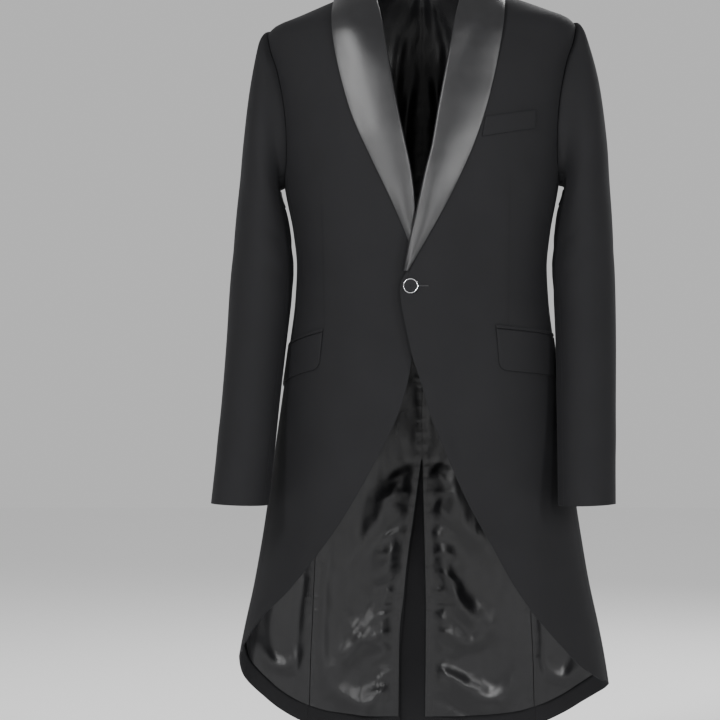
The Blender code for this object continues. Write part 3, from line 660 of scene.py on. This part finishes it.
sleeveSize = dict(frontSeam=150, backSeam=-100, headGap=0.25, topColumns=54, underColumns=26,
                  rows=130)
sleeveCreases = (  # turn in degrees, distance down the sleeve from 0 to 1, width, length, depth
    (130, 0.50, 0.016, 46, -1.5), (118, 0.55, 0.018, 52, 1.6), (138, 0.60, 0.016, 40, -1.2),
    (60, 0.33, 0.03, 40, 1.0), (20, 0.42, 0.04, 46, -0.9), (-40, 0.52, 0.022, 44, -1.4),
    (-60, 0.57, 0.02, 36, 1.2), (200, 0.52, 0.018, 34, -1.5), (220, 0.57, 0.02, 30, 1.2),
    (90, 0.80, 0.03, 40, -0.8), (40, 0.90, 0.03, 50, 0.7))


def ringPoints(side, row, turns):
    outerX, outerZ, innerX, innerZ, middleY, halfDepth, own, slant = row
    outer = np.array([sides[side] * outerX, middleY, outerZ])
    inner = np.array([sides[side] * innerX, middleY, innerZ])
    centre, reach = (outer + inner) / 2, (outer - inner) / 2
    gap = cloth["armholeGap"]
    start = (armholePoint(side, 0.0, gap) + armholePoint(side, math.pi, gap)) / 2
    angle = np.radians(turns)
    behind = -np.sin(angle) * halfDepth
    drop = np.maximum(behind, 0) * slant * 2
    oval = centre + reach * np.cos(angle)[:, None] + np.stack([0 * drop, behind, -drop], axis=-1)
    hole = armholePoint(side, angle, gap) - start + settled(centre)
    return mix(hole, settled(oval), own)


def smoothRows(keys, count):
    # a smooth run through key sections, as Catmull and Rom do it
    keys = np.asarray(keys)
    padded = np.concatenate([2 * keys[:1] - keys[1:2], keys, 2 * keys[-1:] - keys[-2:-1]])
    made = []
    for place in np.linspace(0, len(keys) - 1, count):
        i = min(int(place), len(keys) - 2)
        t = place - i
        a, b, c, d = padded[i], padded[i + 1], padded[i + 2], padded[i + 3]
        made.append(0.5 * (2 * b + (c - a) * t + (2 * a - 5 * b + 4 * c - d) * t * t
                           + (3 * b - 3 * c + d - a) * t**3))
    return np.array(made)


def surfaceSteps(points):
    steps = np.cross(np.gradient(points, axis=1), np.gradient(points, axis=0))
    return steps / np.linalg.norm(steps, axis=2, keepdims=True)


def makeSleeve(side, kind, first, last, columns):
    size = sleeveSize
    turns = first + (last - first) * shares(columns)
    turns = np.concatenate([[turns[0] - 3], turns, [turns[-1] + 3]])
    keys = [armholePoint(side, np.radians(turns), size["headGap"])]
    keys += [ringPoints(side, row, turns) for row in ringRows[side]]
    outer = smoothRows(keys, size["rows"])
    inward = surfaceSteps(outer)
    middle = smoothRows([armholePoint(side, np.radians(np.arange(0.0, 360, 30)), 0)]
                        + [ringPoints(side, row, np.arange(0.0, 360, 30)) for row in ringRows[side]],
                        size["rows"]).mean(axis=1)
    facing = np.einsum("ijk,ijk->ij", inward, middle[:, None] - outer)
    inward = inward * np.where(facing < 0, -1, 1)[..., None]
    share = np.linspace(0, 1, size["rows"])[:, None]
    lift = np.zeros(outer.shape[:2])
    for turn, place, width, reach, depth in sleeveCreases:
        slope = (turns - turn)[None, :] * 0.0006
        lift += depth * np.exp(-((share - place - slope) / width) ** 2
                               - ((turns - turn)[None, :] / reach) ** 2)
    toEdge = np.minimum(turns - turns[1], turns[-2] - turns)[None, :] * 0.85
    head = 1 - ease(share, 0.0, 0.12)
    lift = lift * ease(toEdge, 0, 14) - 0.55 * np.exp(-np.maximum(toEdge, 0) / 1.2)
    lift = lift - 0.6 * head * np.exp(-share * 60) + 0.25 * np.sin(turns / 4.1)[None, :] * head
    inner = outer + inward * (cloth["wool"] - lift)[..., None]
    outer = outer - inward * lift[..., None]
    outer, inner = outer[:, 1:-1], inner[:, 1:-1]
    made = dress(wallMesh(f"{kind}_cloth_{side}", outer, inner, wool), [f"{kind}_{side}"], "wool")
    declare(made, outer)


# The shawl collar

def foldSection(foot, centre, leg, outward, folds):
    toward = leg[-1] - centre
    toward = toward / np.linalg.norm(toward)
    outward = outward - toward * np.dot(outward, toward)
    outward = outward / np.linalg.norm(outward)
    start = centre - outward * form["collarRoll"]
    points = [mix(foot, start, t) for t in np.linspace(0, 1, 7)[:-1]]
    for turn in np.linspace(0, math.pi, folds):
        points.append(centre - outward * form["collarRoll"] * math.cos(turn)
                      - toward * form["collarRoll"] * math.sin(turn))
    return np.array(points + list(leg))


def makeCollar(side):
    size = dict(stations=17, legFaces=30, folds=9, rows=210)
    half = cloth["satin"] / 2
    reach = np.linspace(0, 1, size["legFaces"] + 1)[1:]
    roll, rest = form["collarRoll"], -cloth["wool"] / 2
    sections = []
    for height in np.linspace(-428, -24, size["stations"]):
        fold, edge = float(rollLine[side](height)), float(lapelEdge[side](height))
        centreAngle = angleOf(height, fold + roll)
        footAngle = angleOf(height, fold + roll + form["lapelTuck"] * ease(edge - fold, 2, 26) + 3)
        high = ease(height, -150, -70)
        distance = mix(fold + roll, max(edge, fold + roll + 3), reach)
        lift = mix(rest + roll, cloth["layGap"] + half + 3.4 * high, ease(reach, 0, 1))
        lift = lift + (1.6 + 4.5 * high) * np.sin(np.pi * reach)
        leg = clothPoint(side, angleOf(height, distance), height, lift)
        sections.append(foldSection(clothPoint(side, footAngle, height, rest - roll),
                                    clothPoint(side, centreAngle, height, rest), leg,
                                    normalAt(side, centreAngle, height), size["folds"]))
    for row in collarRows:
        fold, foot, edge = (settled(np.array([sides[side] * row[i], row[i + 1], row[i + 2]], float))
                            for i in (0, 3, 6))
        outward = fold - settled(np.array([0.0, 12.0, fold[2]]))
        outward[2] = 0
        outward = outward / np.linalg.norm(outward)
        swell = 4.5 * np.sin(np.pi * reach)[:, None] * (outward + np.array([0, 0, 0.6]))
        leg = mix(fold + outward * roll, edge, reach[:, None]) + swell
        sections.append(foldSection(foot, fold, leg, outward, size["folds"]))
    middle = smoothRows(sections, size["rows"])
    steps = surfaceSteps(middle)
    steps[-1, :, 0] = 0
    count = middle.shape[1]
    fromEdge = np.linspace(0, 1, count)
    thick = half * (1 - 0.35 * np.exp(-((1 - fromEdge) / 0.02) ** 2))[None, :, None]
    wave = 0.35 * ripple(middle[..., 0] + middle[..., 1], middle[..., 2], 70, 0.7, 2.0)[..., None]
    soft = ease(fromEdge, 0.35, 0.6) * (1 - ease(fromEdge, 0.92, 1.0))
    middle = middle + steps * wave * soft[None, :, None]
    outer, inner = middle + steps * thick, middle - steps * thick
    made = dress(wallMesh(f"shawl_cloth_{side}", outer, inner, satin), [f"shawl_collar_{side}"], "satin")
    declare(made, outer)


# What lies on the fronts

def layOn(name, nodes, place, rows, columns, material, slot, flat):
    top = cloth["layGap"] + cloth["wool"]
    r, c = np.meshgrid(rows, columns, indexing="ij")
    edge = np.minimum(np.minimum(r, 1 - r) * flat[1] / mm, np.minimum(c, 1 - c) * flat[0] / mm)
    rounding = 0.7 * np.exp(-edge / 0.7)
    outer, inner = place(r, c, top - rounding), place(r, c, cloth["layGap"])
    return dress(wallMesh(name, outer, inner, material), nodes, slot), outer


flapSizes = {
    "right": dict(startX=144, endAngle=97, top=-517, topEnd=-546, depth=53),
    "left": dict(startX=108, endAngle=84, top=-512, topEnd=-524, depth=60)}
flapLook = dict(corner=12, jet=5)
weltSize = dict(innerX=92, outerX=166, innerTop=-208, outerTop=-201, innerFoot=-236, outerFoot=-227)
fine = np.concatenate([[0, 0.01, 0.025, 0.05], np.linspace(0.08, 0.92, 40), [0.95, 0.975, 0.99, 1]])


def makePocket(side):
    size = flapSizes[side]
    first, last = float(angleOf(size["top"], size["startX"])), size["endAngle"]

    def flap(r, c, level):
        angle = mix(first, last, c)
        top = mix(size["top"], size["topEnd"], c)
        fromEnd = np.minimum(angle - first, last - angle) * 3.3
        corner = flapLook["corner"]
        short = corner * (1 - np.sqrt(1 - np.maximum(0, 1 - fromEnd / corner) ** 2))
        return clothPoint(side, angle, top - (size["depth"] - short * 0.8) * r, level)

    def jet(r, c, level):
        top = mix(size["top"], size["topEnd"], c) + 1 + flapLook["jet"]
        return clothPoint(side, mix(first, last, c), top - flapLook["jet"] * r, level)

    strip, _ = layOn(f"jet_cloth_{side}", [f"pocket_jet_{side}"], jet, fine[::4], fine, wool, "wool",
                     (0.15, 0.005))
    made, outer = layOn(f"flap_cloth_{side}", [f"pocket_flap_{side}"], flap, fine, fine, wool, "wool",
                        (0.15, 0.055))
    # the jet's strip is too narrow for a cut of its own, so only the flap's cut is measured
    declare(made, outer)


def makeWelt():
    size = weltSize

    def welt(r, c, level):
        x = mix(size["innerX"] - 5 * r, size["outerX"] - r, c)
        height = mix(mix(size["innerTop"], size["outerTop"], c),
                     mix(size["innerFoot"], size["outerFoot"], c), r)
        return clothPoint("left", angleOf(height, x), height, level)

    made, outer = layOn("welt_cloth", ["breast_welt"], welt, fine, fine, wool, "wool", (0.08, 0.028))
    declare(made, outer)


buttonSize = dict(x=-16, z=-450, radius=9.2, depth=3.2, ring=0.9, steps=96)


def turnedMesh(name, profile, seat, normal, material):
    # a (radius, height) profile turned about the button's own axis
    across = np.cross(normal, (0, 0, 1.0))
    across /= np.linalg.norm(across)
    upward = np.cross(across, normal)
    turns = np.linspace(0, math.tau, buttonSize["steps"], endpoint=False)
    spokes = across * np.cos(turns)[:, None] + upward * np.sin(turns)[:, None]
    rings = np.array([seat + spokes * max(r, 0.02) + normal * h for r, h in profile])
    return wallMesh(name, rings, rings - normal * 0.05, material, closed=True)


def makeButton():
    size = buttonSize
    angle = angleOf(size["z"], size["x"])
    seat = clothPoint("left", angle, size["z"], cloth["seamGap"])
    normal = normalAt("left", angle, size["z"])
    radius, depth = size["radius"], size["depth"]
    disc = [(radius * math.cos(t), depth * (0.72 + 0.28 * math.sin(t))) for t in np.linspace(1.5, 0, 14)]
    disc += [(radius, depth * s) for s in (0.5, 0.25, 0.02)]
    button = turnedMesh("button_top", disc, seat, normal, buttonCloth)
    dress(button, ["button"], "button_cloth")
    inside = radius + cloth["seamGap"]
    middle, thick = inside + size["ring"] / 2 + 0.1, size["ring"] / 2 + 0.1
    ring = [(middle + thick * math.cos(t), depth * 0.8 + thick * math.sin(t))
            for t in np.linspace(-0.6, math.pi, 16)]
    ring = [(middle + thick, 0.05), (middle + thick, depth * 0.6)] + ring
    dress(turnedMesh("button_rim", ring, seat, normal, chrome), ["button_ring"], "chrome")


def tubesMesh(name, runs, radius, material, sidesRound=6):
    # short threads joined into one mesh; each run is a list of points
    points, faces = [], []
    for run in runs:
        run = np.asarray(run)
        start = len(points)
        for i, point in enumerate(run):
            ahead = run[min(i + 1, len(run) - 1)] - run[max(i - 1, 0)]
            ahead /= np.linalg.norm(ahead)
            a = np.cross(ahead, (0.3, 0.1, 1.0))
            a /= np.linalg.norm(a)
            b = np.cross(ahead, a)
            taper = radius * (0.45 if i in (0, len(run) - 1) else 1)
            for k in range(sidesRound):
                turn = math.tau * k / sidesRound
                points.append((point + (a * math.cos(turn) + b * math.sin(turn)) * taper) * mm)
        for i in range(len(run) - 1):
            for k in range(sidesRound):
                n = (k + 1) % sidesRound
                faces.append((start + i * sidesRound + k, start + i * sidesRound + n,
                              start + (i + 1) * sidesRound + n, start + (i + 1) * sidesRound + k))
        faces.append(tuple(start + k for k in reversed(range(sidesRound))))
        faces.append(tuple(start + (len(run) - 1) * sidesRound + k for k in range(sidesRound)))
    mesh = bpy.data.meshes.new(name)
    mesh.from_pydata([tuple(p) for p in points], [], faces)
    mesh.shade_smooth()
    mesh.materials.append(material)
    made = bpy.data.objects.new(name, mesh)
    bpy.context.scene.collection.objects.link(made)
    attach(made, "root")
    return made


def makeButtonhole():
    size = dict(start=-4, end=9.5, stitches=26, half=1.3, radius=0.24)
    runs = []
    for x in np.linspace(size["start"], size["end"], size["stitches"]):
        rows = [clothPoint("left", angleOf(buttonSize["z"], x), buttonSize["z"] + dz, lift)
                for dz, lift in ((-size["half"], 0.05), (0, 0.5), (size["half"], 0.05))]
        runs.append(rows)
    tubesMesh("buttonhole_stitches", runs, size["radius"], thread)


def makeEdgeStitches():
    # prick stitches beside the vent on the lining
    size = dict(pitch=4.6, length=2.6, inset=(5, 12), radius=0.17)
    for side in sides:
        runs = []
        for inset in size["inset"]:
            for z in np.arange(-735, -1100, -size["pitch"]):
                x = sides[side] * float(liningVent[side](z)) + inset
                level = under - cloth["lining"] - 0.5
                run = []
                for dz in (0, -size["length"] / 2, -size["length"]):
                    lift = level - 0.2 * (dz == -size["length"] / 2)
                    run.append(clothPoint(side, angleOf(z + dz, x, True), z + dz, lift))
                runs.append(run)
        tubesMesh(f"vent_stitches_{side}", runs, size["radius"], thread)


for side in sides:
    makeFront(side)
    makeSide(side, "side", woolSide)
    makeBack(side, "back", woolBack)
    makeSide(side, "lining_side", liningSide)
    makeBack(side, "lining_back", liningBack)
    makeSleeve(side, "top_sleeve", sleeveSize["backSeam"], sleeveSize["frontSeam"], sleeveSize["topColumns"])
    makeSleeve(side, "under_sleeve", sleeveSize["frontSeam"], 360 + sleeveSize["backSeam"],
               sleeveSize["underColumns"])
    makeCollar(side)
    makePocket(side)
    print(f"made the {side} half")
makeWelt()
makeButton()
makeButtonhole()
makeEdgeStitches()
print("made the pockets, button and stitches")


# Floor, light and camera

photo = dict(scale=1.486, axisX=421.8, originY=-15, size=720, distance=4.2)
studio = dict(floorReach=9.0, floorZ=-1.25, worldStrength=0.6)
lights = (  # name, place, target, power, width, height
    ("key", (-1.9, -2.6, 1.2), (0, 0, -0.5), 115, 0.5, 1.2),
    ("fill", (2.4, -2.4, 0.2), (0, 0, -0.5), 60, 0.4, 1.4),
    ("low_left", (-0.8, -2.1, -0.25), (0, 0.15, -0.85), 20, 0.2, 0.4),
    ("low_right", (0.8, -2.1, -0.25), (0, 0.15, -0.85), 20, 0.2, 0.4),
    ("rim", (1.2, 2.4, 1.4), (0, 0, -0.4), 60, 1.4, 1.0))


def makeFloor():
    mesh = bpy.data.meshes.new("floor")
    reach, level = studio["floorReach"], studio["floorZ"]
    mesh.from_pydata([(-reach, -reach, level), (reach, -reach, level), (reach, reach, level),
                      (-reach, reach, level)], [], [(0, 1, 2, 3)])
    shade = Shade("pale_floor", Base_Color=(0.93, 0.93, 0.93, 1), Roughness=0.9)
    mesh.materials.append(shade.material)
    made = bpy.data.objects.new("floor", mesh)
    bpy.context.scene.collection.objects.link(made)


def makeLight(name, place, target, power, width, height):
    data = bpy.data.lights.new(name, "AREA")
    data.energy, data.shape, data.size, data.size_y = power, "RECTANGLE", width, height
    made = bpy.data.objects.new(name, data)
    made.location = place
    made.rotation_euler = (Vector(target) - Vector(place)).to_track_quat("-Z", "Y").to_euler()
    bpy.context.scene.collection.objects.link(made)


def makeCamera():
    middle = photo["size"] / 2
    wide = photo["scale"] * photo["size"] * mm
    data = bpy.data.cameras.new("camera")
    data.sensor_width = 36.0
    data.lens = data.sensor_width * photo["distance"] / wide
    data.shift_x = (middle - photo["axisX"]) / photo["size"]
    made = bpy.data.objects.new("camera", data)
    made.location = (0, -photo["distance"], -(middle - photo["originY"]) * photo["scale"] * mm)
    made.rotation_euler = (math.radians(90), 0, 0)
    bpy.context.scene.collection.objects.link(made)
    bpy.context.scene.camera = made


world = bpy.data.worlds.new("studio")
bpy.context.scene.world = world
world.use_nodes = True
world.node_tree.nodes["Background"].inputs["Color"].default_value = (1, 1, 1, 1)
world.node_tree.nodes["Background"].inputs["Strength"].default_value = studio["worldStrength"]
makeFloor()
for light in lights:
    makeLight(*light)
makeCamera()
print("made the floor, lights and camera")
